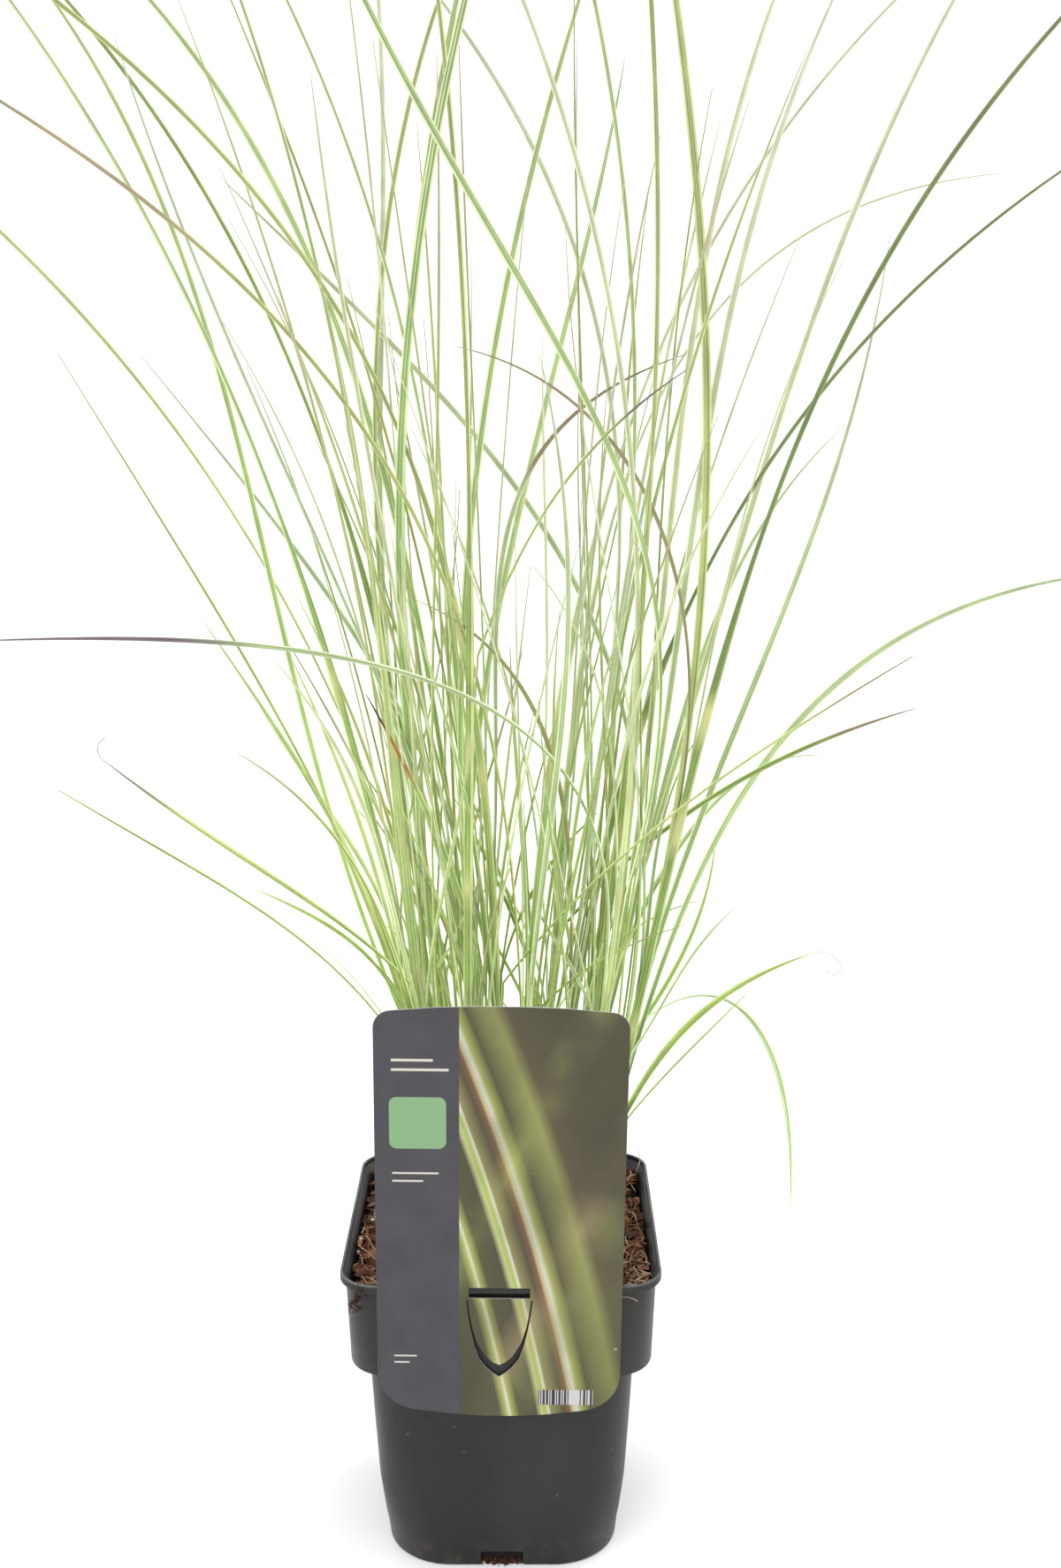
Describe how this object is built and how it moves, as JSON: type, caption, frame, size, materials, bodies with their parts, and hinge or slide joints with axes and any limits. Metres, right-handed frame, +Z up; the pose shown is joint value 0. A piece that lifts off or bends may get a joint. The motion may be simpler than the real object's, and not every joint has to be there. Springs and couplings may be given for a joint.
{
  "type": "potted grass clump",
  "caption": "Clump of variegated miscanthus grass with long arching leaves, growing in a square plastic nursery pot with a printed sheet hung on its front rim.",
  "frame": {"origin": "centre of the pot's underside, on the surface that it stands on", "axes": "+Z up; -Y is the front, where the printed sheet hangs; +X is to the right seen from the front"},
  "size_m": [0.5092, 0.2804, 0.737],
  "materials": {
    "pot_plastic": "satin moulded polypropylene",
    "coir_compost": "loose coir and bark",
    "printed_sheet": "printed satin film",
    "stem": "smooth green grass stem",
    "leaf": "thin striped grass blade"
  },
  "bodies": {
    "root": {"pot": "pot_plastic", "soil": "coir_compost", "label": "printed_sheet", "culm_01": "stem", "culm_02": "stem", "culm_03": "stem", "culm_04": "stem", "culm_05": "stem", "culm_06": "stem", "culm_07": "stem", "culm_08": "stem", "culm_09": "stem", "culm_10": "stem", "culm_11": "stem", "culm_12": "stem", "culm_13": "stem", "culm_14": "stem", "leaf_01": "leaf", "leaf_02": "leaf", "leaf_03": "leaf", "leaf_04": "leaf", "leaf_05": "leaf", "leaf_06": "leaf", "leaf_07": "leaf", "leaf_08": "leaf", "leaf_09": "leaf", "leaf_10": "leaf", "leaf_11": "leaf", "leaf_12": "leaf", "leaf_13": "leaf", "leaf_14": "leaf", "leaf_15": "leaf", "leaf_16": "leaf", "leaf_17": "leaf", "leaf_18": "leaf", "leaf_19": "leaf", "leaf_20": "leaf", "leaf_21": "leaf", "leaf_22": "leaf", "leaf_23": "leaf", "leaf_24": "leaf", "leaf_25": "leaf", "leaf_26": "leaf", "leaf_27": "leaf", "leaf_28": "leaf", "leaf_29": "leaf", "leaf_30": "leaf", "leaf_31": "leaf", "leaf_32": "leaf", "leaf_33": "leaf", "leaf_34": "leaf", "leaf_35": "leaf", "leaf_36": "leaf", "leaf_37": "leaf", "leaf_38": "leaf", "leaf_39": "leaf", "leaf_40": "leaf", "leaf_41": "leaf", "leaf_42": "leaf", "leaf_43": "leaf"}
  },
  "joints": []
}
